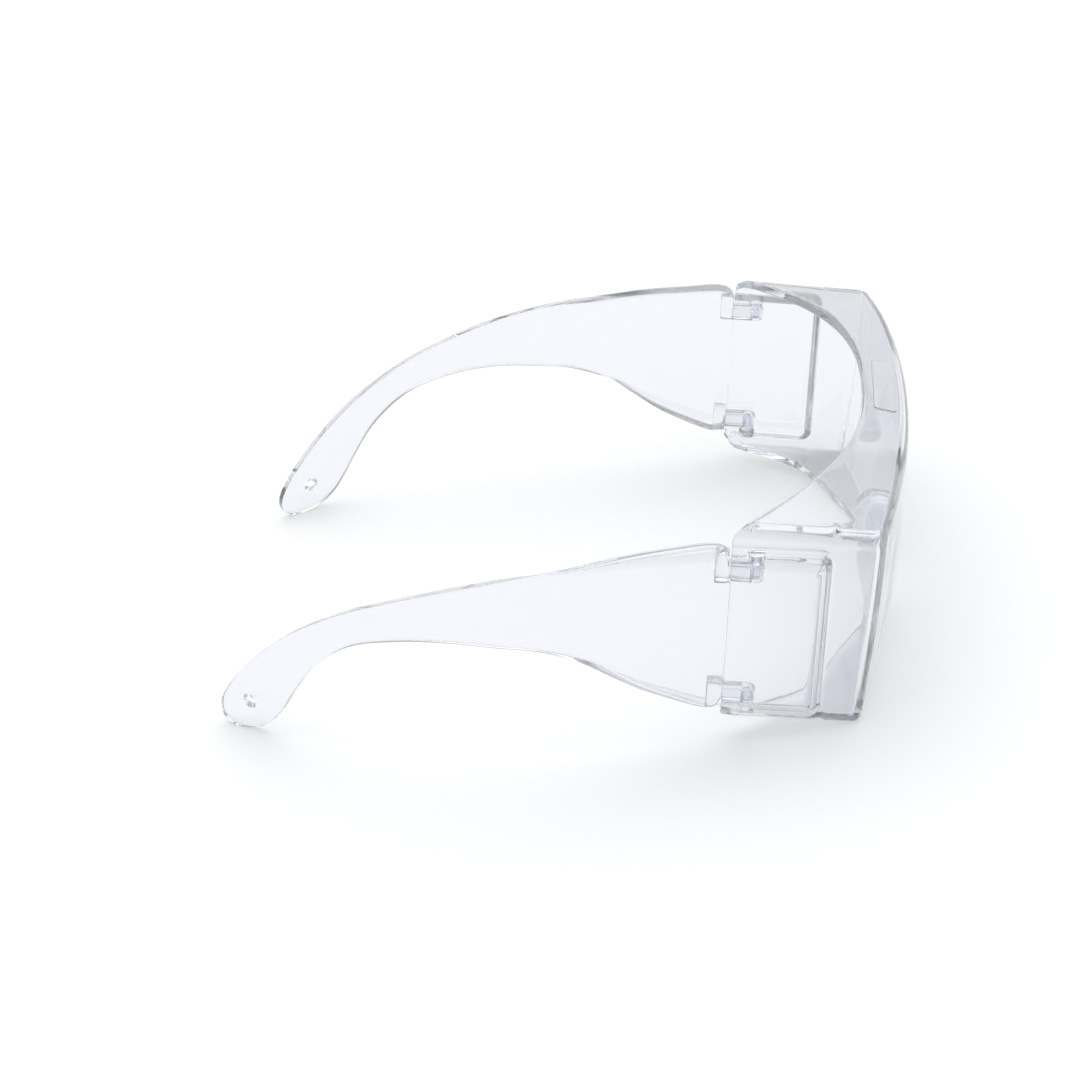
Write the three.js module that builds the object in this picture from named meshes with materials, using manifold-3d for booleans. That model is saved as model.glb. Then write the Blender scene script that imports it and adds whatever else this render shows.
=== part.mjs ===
// Clear polycarbonate over-glasses: one moulded front (wrap lens, brow shelf, side
// shields, cheek flange and nose saddle) with two folding temples on peg hinges.
//
// The sub-parts are drawn in the wearing frame: x to the wearer's left, y to the
// rear, z up along the hinge axis, with y = 0 on the hinge axis. The finished
// glasses are then leaned back by LEAN, as they stand on a table.
import * as THREE from 'three';
import { mergeVertices } from 'three/addons/utils/BufferGeometryUtils.js';
import Module from 'manifold-3d';

const wasm = await Module();
wasm.setup();

// ---- driving dimensions, mm and radians ----
const LEAN = THREE.MathUtils.degToRad(7.8);
const WALL = 2.0; // moulded wall thickness
const CLEARANCE = 0.3; // gap between parts that meet

const SHIELD_X = 68.0; // outer face of the side wall at the hinge
const SHIELD_TAPER = 0.03; // the side walls close in towards the lens
const SHIELD_REAR = 5.4; // rear edge of the side shields
const CORNER_RADIUS = 3.6; // lens to side wall, in plan
const LENS_APEX = 34.8; // lens front ahead of the hinge axis
const LENS_RADIUS = 307; // plan radius of the lens
const LENS_EDGE_X = 63.6; // where the lens meets the corner
const UPPER_FILLET_SIDE = 3.4; // side wall to brow shelf
const UPPER_FILLET_LENS = 2.7; // lens to brow shelf
const LOWER_FILLET = 2.4;
const BROW_APEX = 24.2; // forehead cut-out ahead of the hinge axis
const BROW_DEPTH = 29.6; // depth of the forehead cut-out
const BROW_POWER = 2.5;
const SHELF_FRONT_HEIGHT = 54.1; // brow shelf over the lens, in the middle
const SHELF_REAR_HEIGHT = 56; // brow shelf at the forehead, in the middle

const NOSE_HEIGHT = 20.5; // height of the nose arch above the lens edge
const NOSE_HALF_WIDTH = 21;
const CHEEK_RISE = 0.8; // the cheek flange climbs a little to the rear

const POCKET_DEPTH = 4.6; // the hinge pocket stands out from the side wall
const POCKET_FRONT = -17.2;
const POCKET_TOP = 47.0;
const POCKET_BOTTOM = 5.6;
const POCKET_CORNER = 3.4;
const CREASE_RADIUS = 0.5; // hollow fillet where the pocket leaves the side wall

const HINGE_X = 68.1;
const EYE_RADIUS = 1.9; // round end of a temple arm
const ARM_HEIGHT = 3.3;
const ARM_INNER_X = 66.2;
const ARM_OUTER_X = 70.0;
const UPPER_ARM_Z = 39.9;
const LOWER_ARM_Z = 9.6;
const PEG_RADIUS = 1.7;
const PEG_SHANK_RADIUS = 1.0;
const SOCKET_RADIUS = 1.95;
const UPPER_PEG_TOP = 45.6;
const LOWER_PEG_BOTTOM = 7.0;

const TEMPLE_X = SHIELD_X + POCKET_DEPTH;
const TEMPLE_FRONT = SHIELD_REAR + CLEARANCE;
const TEMPLE_STRAIGHT = 45; // straight as far as here, then curving to the head
const TEMPLE_SPLAY = 0.03;
const TEMPLE_RADIUS = 110;
const TEMPLE_SHOULDER_END = 53; // where the rounding of the long edges has faded out
const TEMPLE_SHOULDER = 4.2; // rounded long edges of the blade near the hinge
const CORD_HOLE_CENTRE = [112.4, -8.0];
const CORD_HOLE_RADIUS = 1.4;

const PAD_SIZE = [26, 5.2]; // blank plate on top of the brow shelf
const PAD_CORNER = 0.9;
const PAD_CENTRE_Y = -29.0;
const PAD_HEIGHT = 0.35;

// ---- small helpers ----
const clamp = THREE.MathUtils.clamp;
const lerp = THREE.MathUtils.lerp;

/** Evenly spaced numbers from a to b, both included. */
function spread(a, b, count) {
  return Array.from({ length: count }, (_, i) => lerp(a, b, i / (count - 1)));
}

/** A smooth curve through a few [a, b] points, read by parameter 0..1. */
function smoothCurve(points) {
  const curve = new THREE.CatmullRomCurve3(
    points.map(([a, b]) => new THREE.Vector3(a, b, 0)), false, 'centripetal');
  return (t) => curve.getPoint(clamp(t, 0, 1));
}

/** Normals of a grid of points, pointing to the side that `sign` selects. */
function gridNormals(grid, sign) {
  const rows = grid[0].length;
  return grid.map((column, i) => column.map((_, j) => {
    const before = grid[Math.max(i - 1, 0)][j];
    const after = grid[Math.min(i + 1, grid.length - 1)][j];
    const above = column[Math.max(j - 1, 0)];
    const below = column[Math.min(j + 1, rows - 1)];
    const along = new THREE.Vector3().subVectors(after, before);
    const down = new THREE.Vector3().subVectors(below, above);
    const normal = along.cross(down);
    if (i === 0 || i === grid.length - 1) normal.y = 0; // the end faces stay square
    return normal.normalize().multiplyScalar(sign);
  }));
}

/** A closed solid between a grid of points and its copy `thickness` behind it. */
function shellFromGrid(outer, thickness, sign) {
  const normals = gridNormals(outer, sign);
  const inner = outer.map((column, i) => column.map((point, j) =>
    point.clone().addScaledVector(normals[i][j], -thickness)));
  const columns = outer.length;
  const rows = outer[0].length;
  const positions = [];
  const faces = [];
  for (const sheet of [outer, inner]) {
    sheet.flat().forEach((p) => positions.push(p.x, p.y, p.z));
  }
  const front = (i, j) => i * rows + j;
  const back = (i, j) => columns * rows + front(i, j);
  const quad = (a, b, c, d) => faces.push(...(sign > 0 ? [a, b, c, a, c, d] : [a, c, b, a, d, c]));
  for (let i = 0; i < columns - 1; i += 1) {
    for (let j = 0; j < rows - 1; j += 1) {
      quad(front(i, j), front(i + 1, j), front(i + 1, j + 1), front(i, j + 1));
      quad(back(i, j), back(i, j + 1), back(i + 1, j + 1), back(i + 1, j));
    }
    quad(front(i, 0), back(i, 0), back(i + 1, 0), front(i + 1, 0));
    quad(front(i, rows - 1), front(i + 1, rows - 1), back(i + 1, rows - 1), back(i, rows - 1));
  }
  for (let j = 0; j < rows - 1; j += 1) {
    quad(front(0, j), front(0, j + 1), back(0, j + 1), back(0, j));
    const k = columns - 1;
    quad(front(k, j), back(k, j), back(k, j + 1), front(k, j + 1));
  }
  const geometry = new THREE.BufferGeometry();
  geometry.setAttribute('position', new THREE.Float32BufferAttribute(positions, 3));
  geometry.setIndex(faces);
  return geometry;
}

/** A three.js geometry as a manifold solid. */
function toSolid(geometry) {
  const plain = geometry.clone();
  plain.deleteAttribute('normal');
  plain.deleteAttribute('uv');
  const merged = mergeVertices(plain, 1e-4);
  return new wasm.Manifold(new wasm.Mesh({
    numProp: 3,
    vertProperties: new Float32Array(merged.attributes.position.array),
    triVerts: new Uint32Array(merged.index.array),
  }));
}

/** A manifold solid as a three.js geometry. */
function toGeometry(solid) {
  const mesh = solid.getMesh();
  const geometry = new THREE.BufferGeometry();
  geometry.setAttribute('position', new THREE.Float32BufferAttribute(mesh.vertProperties, 3));
  geometry.setIndex([...mesh.triVerts]);
  geometry.computeVertexNormals();
  return geometry;
}

/** An upright cylinder between two heights. */
function uprightCylinder(radius, x, y, low, high, segments = 20) {
  const geometry = new THREE.CylinderGeometry(radius, radius, high - low, segments);
  geometry.rotateX(Math.PI / 2);
  return geometry.translate(x, y, (low + high) / 2);
}

/** A box from its lowest and highest corners. */
function boxBetween(low, high) {
  const size = high.map((value, axis) => value - low[axis]);
  const geometry = new THREE.BoxGeometry(...size);
  return geometry.translate(...low.map((value, axis) => value + size[axis] / 2));
}

// ---- front moulding ----

/** Plan outline of the lens. */
function lensY(x) {
  return -LENS_APEX + x ** 2 / (2 * LENS_RADIUS);
}

/** Rear edge of the brow shelf in plan. */
function browY(x) {
  return -BROW_APEX + BROW_DEPTH * (Math.abs(x) / SHIELD_X) ** BROW_POWER;
}

/** Height of the brow shelf over a point of the plan. */
function shelfHeight(x, y) {
  const share = (y - lensY(x)) / (browY(x) - lensY(x));
  const low = SHELF_FRONT_HEIGHT - 3.4 * (Math.abs(x) / 66.5) ** 3;
  const high = SHELF_REAR_HEIGHT - 4.3 * (Math.abs(x) / 64.5) ** 3;
  return lerp(low, high, share);
}

/** Underside of the lens: it follows the table that the glasses stand on. */
function standingHeight(x) {
  return -Math.tan(LEAN) * (lensY(x) + 2.1) - 0.25;
}

/** Rounded rise of the pocket out of the side wall, by distance inside its outline. */
function pocketRise(inside) {
  if (inside <= 0) return 0;
  if (inside < CREASE_RADIUS) return CREASE_RADIUS - Math.sqrt(CREASE_RADIUS ** 2 - inside ** 2);
  const round = POCKET_DEPTH - CREASE_RADIUS;
  const share = clamp((inside - CREASE_RADIUS) / round, 0, 1);
  return CREASE_RADIUS + round * Math.sqrt(1 - (1 - share) ** 2);
}

/** Distances inside the pocket's outline at which its shoulder needs a row of points. */
const SHOULDER_STEPS = [0, CREASE_RADIUS, ...[0.5, 0.85, 1.2, Math.PI / 2].map((angle) =>
  CREASE_RADIUS + (POCKET_DEPTH - CREASE_RADIUS) * (1 - Math.cos(angle)))];

/** Outline of the front in plan, from the rear of one side shield to the middle. */
function frontStations() {
  const slopeAngle = Math.atan(LENS_EDGE_X / LENS_RADIUS);
  const turnStart = Math.atan(SHIELD_TAPER); // wall normal leans back by the taper
  const turnEnd = Math.PI / 2 - slopeAngle;
  const wallX = (y) => SHIELD_X - SHIELD_TAPER * (SHIELD_REAR - y);
  const centreY = lensY(LENS_EDGE_X) + CORNER_RADIUS * Math.cos(slopeAngle);
  const centre = new THREE.Vector2(wallX(centreY) - CORNER_RADIUS, centreY);
  const shoulderYs = SHOULDER_STEPS.map((step) => POCKET_FRONT + step).reverse();
  const sideYs = [SHIELD_REAR, 4.2, 2.2, -1, -5, -9, ...shoulderYs, POCKET_FRONT - 0.8];
  const stations = sideYs.map((y) => ({
    zone: 'side', x: wallX(y), y, nx: 1, ny: -SHIELD_TAPER,
    reach: (SHIELD_REAR - y) / (SHIELD_REAR - centre.y),
  }));
  for (const turn of spread(turnStart, turnEnd, 4)) {
    stations.push({
      zone: 'corner', reach: 1 + (turn - turnStart) / (turnEnd - turnStart),
      x: centre.x + CORNER_RADIUS * Math.cos(turn), y: centre.y - CORNER_RADIUS * Math.sin(turn),
      nx: Math.cos(turn), ny: -Math.sin(turn),
    });
  }
  const lensXs = [56, 47, 38, 30, 25, ...spread(NOSE_HALF_WIDTH, 0, 12)];
  for (const x of lensXs) {
    const slope = Math.atan(x / LENS_RADIUS);
    stations.push({
      zone: 'lens', x, y: lensY(x),
      nx: Math.sin(slope), ny: -Math.cos(slope), reach: 2 + (1 - x / LENS_EDGE_X),
    });
  }
  return stations;
}

/** How far the lens stands ahead of its plan outline at a height. */
function lensBulge(x, z) {
  const fullness = 2.0 * Math.max(0, 1 - (x / 52) ** 2) * Math.sin(Math.PI * clamp((53 - z) / 62, 0, 1));
  const backward = 2.1 * (clamp(50 - z, 0, 50) / 47) ** 2;
  return fullness - backward;
}

/** How far the hinge pocket stands out of the side wall at a point of it. */
function pocketDepth(y, z) {
  const fromFront = y - POCKET_FRONT;
  const fromEdge = Math.min(POCKET_TOP - z, z - POCKET_BOTTOM);
  const cornerY = Math.max(POCKET_CORNER - fromFront, 0);
  const cornerZ = Math.max(POCKET_CORNER - fromEdge, 0);
  let inside = Math.min(fromFront, fromEdge);
  if (cornerY > 0 && cornerZ > 0) inside = POCKET_CORNER - Math.hypot(cornerY, cornerZ);
  return pocketRise(inside);
}

/** Underside of the front along the lens and side walls. */
function lowerEdge(station) {
  const standing = standingHeight(station.x);
  if (station.zone !== 'lens') return standing + 0.9 * clamp((station.y - 1) / 4.4, 0, 1) ** 2;
  const arch = Math.cos((Math.PI * clamp(station.x / NOSE_HALF_WIDTH, 0, 1)) / 2) ** 2;
  return standing + NOSE_HEIGHT * arch;
}

/** Rear edge of the brow shelf for a station: plan point and height. */
function browPoint(station) {
  const { reach } = station;
  const side = 67.6 - 25.6 * clamp(reach, 0, 1) ** 1.15;
  const corner = 42 - 3 * clamp(reach - 1, 0, 1);
  const lens = (39 * station.x) / LENS_EDGE_X;
  const x = { side, corner, lens }[station.zone];
  return new THREE.Vector3(x, browY(x), shelfHeight(x, browY(x)));
}

const cheekLine = smoothCurve([
  [67.6, 5], [62, -4], [55, -13.5], [46, -18.3], [36.6, -22.1], [28, -26]]);
const noseLine = smoothCurve([
  [28, -26], [21, -28.4], [14, -27.3], [9.5, -25.6], [5, -27.3], [0, -29.2]]);

/** How far the cheek flange has climbed above the lens edge at a point of its inner line. */
function cheekClimb(x) {
  return CHEEK_RISE * (1 - (x / SHIELD_X) ** 4) * THREE.MathUtils.smoothstep(x, 24, 34);
}

/** Inner edge of the cheek flange and of the nose saddle for a station. */
function flangePoint(station, low) {
  if (station.zone === 'lens' && station.x <= 25) {
    let t = 0.5;
    for (let step = 0.25; step > 1e-4; step /= 2) t += noseLine(t).x > station.x ? step : -step;
    return new THREE.Vector3(station.x, noseLine(t).y, low);
  }
  const share = station.zone === 'side' ? 0.62 * station.reach
    : station.zone === 'corner' ? 0.62 + 0.06 * (station.reach - 1)
      : 0.68 + (0.32 * (LENS_EDGE_X - station.x)) / (LENS_EDGE_X - 25);
  const point = cheekLine(share);
  const height = Math.max(low, standingHeight(point.x)) + cheekClimb(point.x);
  return new THREE.Vector3(point.x, point.y, height);
}

/** Rounded turn from a wall onto a shelf of height(x, y), then on to the shelf's free edge. */
function turnedEdge(wall, corner, end, height, steps) {
  const radius = wall.distanceTo(corner);
  const reach = Math.hypot(end.x - corner.x, end.y - corner.y);
  const onward = corner.clone().lerp(end, radius / Math.max(reach, 1e-6));
  onward.z = height(onward.x, onward.y);
  const outward = onward.sub(corner).divideScalar(radius);
  const upward = new THREE.Vector3().subVectors(corner, wall).divideScalar(radius);
  const onArc = (angle) => wall.clone()
    .addScaledVector(outward, radius * (1 - Math.cos(angle)))
    .addScaledVector(upward, radius * Math.sin(angle));
  if (reach <= radius + 0.4) {
    const last = Math.acos(Math.max(1 - reach / radius, 0));
    return spread(0, last, steps + 2).map(onArc);
  }
  const turned = spread(0, Math.PI / 2, steps).map(onArc);
  const middle = turned[steps - 1].clone().lerp(end, 0.5);
  middle.z = height(middle.x, middle.y);
  return [...turned, middle, end];
}

/** Heights down the side wall, close together where the pocket shoulders are. */
function wallHeights(top, bottom) {
  const upper = SHOULDER_STEPS.map((step) => POCKET_TOP - step);
  const lower = SHOULDER_STEPS.map((step) => POCKET_BOTTOM + step).reverse();
  const heights = [...upper, 32, 20, ...lower];
  const span = POCKET_TOP - POCKET_BOTTOM;
  return heights.map((z) => lerp(bottom, top, (z - POCKET_BOTTOM) / span));
}

/** Outer surface of one station, from the shelf's rear edge to the flange's inner edge. */
function frontSection(station) {
  const top = shelfHeight(station.x, station.y);
  const low = lowerEdge(station);
  const brow = browPoint(station);
  const flange = flangePoint(station, low);
  const wallPoint = (z) => {
    const forward = Math.max(0, -station.ny);
    const share = station.zone === 'side' ? 0 : lensBulge(station.x, z) * forward;
    const out = station.zone === 'side' ? pocketDepth(station.y, z) : share;
    return new THREE.Vector3(station.x + station.nx * out, station.y + station.ny * out, z);
  };
  const turn = clamp(station.reach - 1, 0, 1);
  const upperRadius = lerp(UPPER_FILLET_SIDE, UPPER_FILLET_LENS, turn);
  const upperCorner = wallPoint(top);
  const lowerCorner = wallPoint(low);
  const heights = wallHeights(top - upperRadius - 0.4, low + LOWER_FILLET);
  const width = Math.hypot(flange.x - lowerCorner.x, flange.y - lowerCorner.y);
  const flangeHeight = (x, y) =>
    lerp(low, flange.z, Math.hypot(x - lowerCorner.x, y - lowerCorner.y) / Math.max(width, 1e-6));
  return [
    ...turnedEdge(wallPoint(top - upperRadius), upperCorner, brow, shelfHeight, 4).reverse(),
    ...heights.slice(0, -1).map(wallPoint),
    ...turnedEdge(wallPoint(low + LOWER_FILLET), lowerCorner, flange, flangeHeight, 3),
  ];
}

/** The front moulding: lens, brow shelf, side shields, cheek flange and nose saddle. */
function frontSolid() {
  const half = frontStations().map(frontSection);
  const mirrored = half.slice(0, -1).map((section) =>
    section.map((p) => new THREE.Vector3(-p.x, p.y, p.z))).reverse();
  const grid = [...half, ...mirrored];
  let solid = toSolid(shellFromGrid(grid, WALL, 1));
  for (const side of [1, -1]) {
    const x = side * HINGE_X;
    const sockets = [
      uprightCylinder(SOCKET_RADIUS, x, 0, 43, UPPER_PEG_TOP + CLEARANCE),
      uprightCylinder(SOCKET_RADIUS, x, 0, LOWER_PEG_BOTTOM - CLEARANCE, 10.5),
    ];
    for (const socket of sockets) solid = solid.subtract(toSolid(socket));
  }
  return solid.add(toSolid(browPad()));
}

/** The blank plate that stands a little proud of the brow shelf. */
function browPad() {
  const [x, y] = PAD_SIZE.map((size) => size / 2 - PAD_CORNER);
  const outline = new THREE.Shape();
  outline.absarc(x, y, PAD_CORNER, 0, Math.PI / 2);
  outline.absarc(-x, y, PAD_CORNER, Math.PI / 2, Math.PI);
  outline.absarc(-x, -y, PAD_CORNER, Math.PI, 1.5 * Math.PI);
  outline.absarc(x, -y, PAD_CORNER, 1.5 * Math.PI, 2 * Math.PI);
  const sunk = 0.9; // the plate starts this far inside the shelf
  const depth = PAD_HEIGHT + sunk;
  const plate = new THREE.ExtrudeGeometry(outline, { depth, bevelEnabled: false, curveSegments: 3 });
  plate.translate(0, 0, -sunk);
  plate.rotateX(Math.atan2(SHELF_REAR_HEIGHT - SHELF_FRONT_HEIGHT, LENS_APEX - BROW_APEX));
  return plate.translate(0, PAD_CENTRE_Y, shelfHeight(0, PAD_CENTRE_Y));
}

// ---- temples ----

/** Outer face of the temple in plan. */
function templeX(y) {
  const bent = Math.max(0, y - TEMPLE_STRAIGHT);
  return TEMPLE_X + TEMPLE_SPLAY * (y - SHIELD_REAR) - bent ** 2 / (2 * TEMPLE_RADIUS);
}

const templeTop = smoothCurve([
  [5.7, 45.4], [6.6, 47.3], [9, 48.2], [18.3, 46.9], [28.3, 45.0], [38.4, 42.3], [48.7, 39.6],
  [58.8, 36.6], [69.1, 33.0], [79.6, 28.5], [90.5, 22.9], [101.7, 14.7], [109.0, 7.3],
  [114.3, 0.4], [118.1, -5.8], [120.0, -10.8], [119.5, -14.1], [117.0, -15.9]]);
const templeBottom = smoothCurve([
  [5.7, 9.4], [6.6, 7.6], [9, 7.1], [16.1, 8.9], [23.6, 11.6], [30, 14.9], [37, 18.6],
  [45.8, 20.9], [56, 21.1], [66, 20.9], [77, 19.2], [88.5, 15.0], [97.0, 7.2],
  [101.8, -1.0], [104.4, -6.4], [107.2, -11.0], [111.0, -14.3], [115.6, -15.85]]);

/** Corners of the temple's outline, [y, z] of its top and bottom edge, front to tip. */
function templeRungs() {
  return [0, 0.03, 0.06, 0.09, 0.12, 0.17, ...spread(0.22, 1, 23)]
    .map((t) => [templeTop(t), templeBottom(t)]);
}

/** One rung of the temple's outer face, with its edges turned in near the hinge. */
function templeSection([top, bottom]) {
  const height = top.distanceTo(bottom);
  const y = (top.x + bottom.x) / 2;
  const radius = TEMPLE_SHOULDER * THREE.MathUtils.smoothstep(TEMPLE_SHOULDER_END - y, 0, 46);
  const band = TEMPLE_SHOULDER / Math.max(height, 2.6 * TEMPLE_SHOULDER);
  const shares = [0, 0.05, 0.22, 0.5, 1].map((share) => share * band);
  const across = [...shares, 0.5, ...shares.map((share) => 1 - share).reverse()];
  return across.map((share) => {
    const point = top.clone().lerp(bottom, share);
    const inside = Math.min(share, 1 - share) * height;
    const rise = clamp(inside / TEMPLE_SHOULDER, 0, 1);
    const turned = radius * (1 - Math.sqrt(1 - (1 - rise) ** 2));
    return new THREE.Vector3(templeX(point.x) - turned, point.x, point.y);
  });
}

/** Arm, root block and peg hole of one hinge knuckle. */
function knuckle(armLow, rootLow, rootHigh) {
  const armHigh = armLow + ARM_HEIGHT;
  const root = boxBetween(
    [ARM_INNER_X, TEMPLE_FRONT + 0.1, rootLow], [TEMPLE_X - WALL + 0.5, 8.9, rootHigh]);
  const arm = boxBetween([ARM_INNER_X, 0, armLow], [ARM_OUTER_X, 6.2, armHigh]);
  const eye = uprightCylinder(EYE_RADIUS, HINGE_X, 0, armLow, armHigh, 24);
  const hole = uprightCylinder(PEG_SHANK_RADIUS + 0.25, HINGE_X, 0, armLow - 1, armHigh + 1, 16);
  return toSolid(root).add(toSolid(arm)).add(toSolid(eye)).subtract(toSolid(hole));
}

/** The left temple: blade, two knuckles and the neck-cord hole. */
function templeSolid() {
  const grid = templeRungs().map(templeSection);
  const blade = toSolid(shellFromGrid(grid, WALL, -1));
  const hole = new THREE.CylinderGeometry(CORD_HOLE_RADIUS, CORD_HOLE_RADIUS, 12, 20);
  hole.rotateZ(Math.PI / 2);
  hole.translate(templeX(CORD_HOLE_CENTRE[0]) - 1, ...CORD_HOLE_CENTRE);
  return blade
    .add(knuckle(UPPER_ARM_Z, 39.8, 46.2))
    .add(knuckle(LOWER_ARM_Z, 8.4, 14.2))
    .subtract(toSolid(hole));
}

/** The same solid on the wearer's right. */
function mirrorX(geometry) {
  const mirrored = geometry.clone().scale(-1, 1, 1);
  const index = mirrored.index.array;
  for (let i = 0; i < index.length; i += 3) [index[i], index[i + 1]] = [index[i + 1], index[i]];
  mirrored.computeVertexNormals();
  return mirrored;
}

// ---- hinge pegs ----

/** A stepped peg: its shank sits in the temple's arm, its head turns in the front. */
function pegGeometry(armEnd, headEnd) {
  const sign = Math.sign(headEnd - armEnd);
  const start = armEnd + sign * 0.5;
  const step = armEnd + sign * (ARM_HEIGHT + CLEARANCE);
  const profile = [
    [0, start], [PEG_SHANK_RADIUS, start], [PEG_SHANK_RADIUS, step], [PEG_RADIUS, step],
    [PEG_RADIUS, headEnd - sign * 0.3], [PEG_RADIUS - 0.3, headEnd], [0, headEnd],
  ].map(([r, z]) => new THREE.Vector2(r, z));
  const peg = new THREE.LatheGeometry(sign > 0 ? profile : profile.reverse(), 20);
  return peg.rotateX(Math.PI / 2);
}

// ---- assembly ----

function clearPolycarbonate(name) {
  return new THREE.MeshStandardMaterial({
    name, color: 0xe6eaf2, roughness: 0.04, metalness: 0, transparent: true, opacity: 0.35,
  });
}

function named(name, geometry) {
  const mesh = new THREE.Mesh(geometry, clearPolycarbonate(name));
  mesh.name = name;
  return mesh;
}

const glasses = new THREE.Group();
glasses.add(named('front_moulding', toGeometry(frontSolid())));

const leftTemple = toGeometry(templeSolid());
glasses.add(named('left_temple', leftTemple));
glasses.add(named('right_temple', mirrorX(leftTemple)));

for (const [side, sign] of [['left', 1], ['right', -1]]) {
  const upper = named(`${side}_upper_hinge_peg`, pegGeometry(UPPER_ARM_Z, UPPER_PEG_TOP));
  const lower = named(
    `${side}_lower_hinge_peg`, pegGeometry(LOWER_ARM_Z + ARM_HEIGHT, LOWER_PEG_BOTTOM));
  for (const peg of [upper, lower]) {
    peg.position.x = sign * HINGE_X;
    glasses.add(peg);
  }
}

glasses.rotation.x = LEAN;
glasses.updateMatrixWorld(true);

// The origin is under the middle of the glasses, on the table.
const part = new THREE.Group();
part.add(glasses);
const box = new THREE.Box3().setFromObject(glasses, true);
glasses.position.set(-(box.min.x + box.max.x) / 2, -(box.min.y + box.max.y) / 2, -box.min.z);
part.updateMatrixWorld(true);

export default part;
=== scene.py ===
"""Clear polycarbonate over-glasses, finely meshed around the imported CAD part."""

import math

import bmesh
import bpy
import numpy as np
from mathutils import Matrix, Vector


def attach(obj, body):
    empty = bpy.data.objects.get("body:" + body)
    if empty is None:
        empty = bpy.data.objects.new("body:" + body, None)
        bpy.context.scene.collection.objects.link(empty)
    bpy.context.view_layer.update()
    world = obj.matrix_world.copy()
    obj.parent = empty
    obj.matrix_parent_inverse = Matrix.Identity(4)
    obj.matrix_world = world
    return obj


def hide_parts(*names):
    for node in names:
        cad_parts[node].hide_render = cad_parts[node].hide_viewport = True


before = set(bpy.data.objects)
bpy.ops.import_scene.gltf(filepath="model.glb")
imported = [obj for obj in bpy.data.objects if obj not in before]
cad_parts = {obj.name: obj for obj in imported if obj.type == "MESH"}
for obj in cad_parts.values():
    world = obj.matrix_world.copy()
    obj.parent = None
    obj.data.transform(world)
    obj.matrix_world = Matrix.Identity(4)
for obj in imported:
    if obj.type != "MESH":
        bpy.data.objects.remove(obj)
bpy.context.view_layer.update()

# ---- dimensions in mm, in the wearing frame: z runs up the hinge axis, -y is forwards ----

MM = 0.001
LEAN = math.radians(7.8)  # the hinge axis leans forwards when the glasses stand on a table
HINGE_FRAME_SHIFT = (0.0, -39.442, 0.117)  # the wearing frame's origin in the part's frame
WALL = 2.0
EDGE_ROUNDING = 0.3

# side shields
SHIELD_X = 68.0
SHIELD_TAPER = 0.03
SHIELD_REAR = 5.4

# lens
CORNER_RADIUS = 3.6
LENS_APEX = 34.8
LENS_RADIUS = 307.0
LENS_EDGE_X = 63.6
LENS_BULGE = 2.0
LENS_BULGE_HALF_WIDTH = 52.0
LENS_BULGE_TOP = 53.0
LENS_BULGE_HEIGHT = 62.0
LENS_SETBACK = 2.1  # about how far the lens's lower edge lies behind its upper one
LENS_SETBACK_TOP = 50.0
LENS_SETBACK_HEIGHT = 47.0

# lower edge
STANDING_DROP = 0.25  # the table passes this far under the wearing frame's origin
REAR_RISE = 0.9  # the side shield's lower edge turns up at its rear end
REAR_RISE_START = 1.0
NOSE_HEIGHT = 20.5
NOSE_HALF_WIDTH = 21.0

# brow shelf
SHELF_FRONT_HEIGHT = 54.1
SHELF_FRONT_DROP = 3.4
SHELF_FRONT_HALF_WIDTH = 66.5
SHELF_REAR_HEIGHT = 56.0
SHELF_REAR_DROP = 4.3
SHELF_REAR_HALF_WIDTH = 64.5
BROW_APEX = 24.2
BROW_DEPTH = 29.6
BROW_POWER = 2.5
BROW_END_X = 67.6  # the brow line at the rear end of a side shield
BROW_CORNER_X = 42.0  # the brow line across from the start of the lens's corner
BROW_LENS_X = 39.0  # the brow line across from the end of the lens's corner
BROW_SPREAD = 1.15

# blank plate on the brow shelf
PAD_LENGTH = 26.0
PAD_WIDTH = 5.2
PAD_CORNER = 0.9
PAD_CENTRE_Y = -29.0
PAD_HEIGHT = 0.35
PAD_ROUNDING = 0.16
PAD_ROOT = 0.9  # how far the plate reaches down into the shelf

# cheek flange and nose saddle: their free edge in plan
CHEEK_LINE = [(67.6, 5), (62, -4), (55, -13.5), (46, -18.3), (36.6, -22.1), (28, -26)]
NOSE_LINE = [(28, -26), (21, -28.4), (14, -27.3), (9.5, -25.6), (5, -27.3), (0, -29.2)]
NOSE_FLANGE_X = 25.0
CHEEK_RISE = 0.8
CHEEK_BLEND = (24.0, 34.0)  # x over which the nose saddle passes into the cheek flange
CHEEK_CORNER_SHARES = (0.62, 0.68)  # parts of the cheek line reached at the lens's corner

# hinge pocket
POCKET_DEPTH = 4.6
POCKET_FRONT = -17.2
POCKET_TOP = 47.0
POCKET_BOTTOM = 5.6
POCKET_CORNER = 3.4
POCKET_FADE = 1.0  # the grid outside the pocket still follows its round corners this far
CREASE_RADIUS = 0.5  # hollow fillet where the pocket leaves the side wall

# roundings of the front's upper and lower edges
UPPER_FILLET_SIDE = 3.4
UPPER_FILLET_LENS = 2.7
UPPER_FILLET_GAP = 0.3
LOWER_FILLET = 2.4
SHORTEST_SHELF = 0.4

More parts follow.
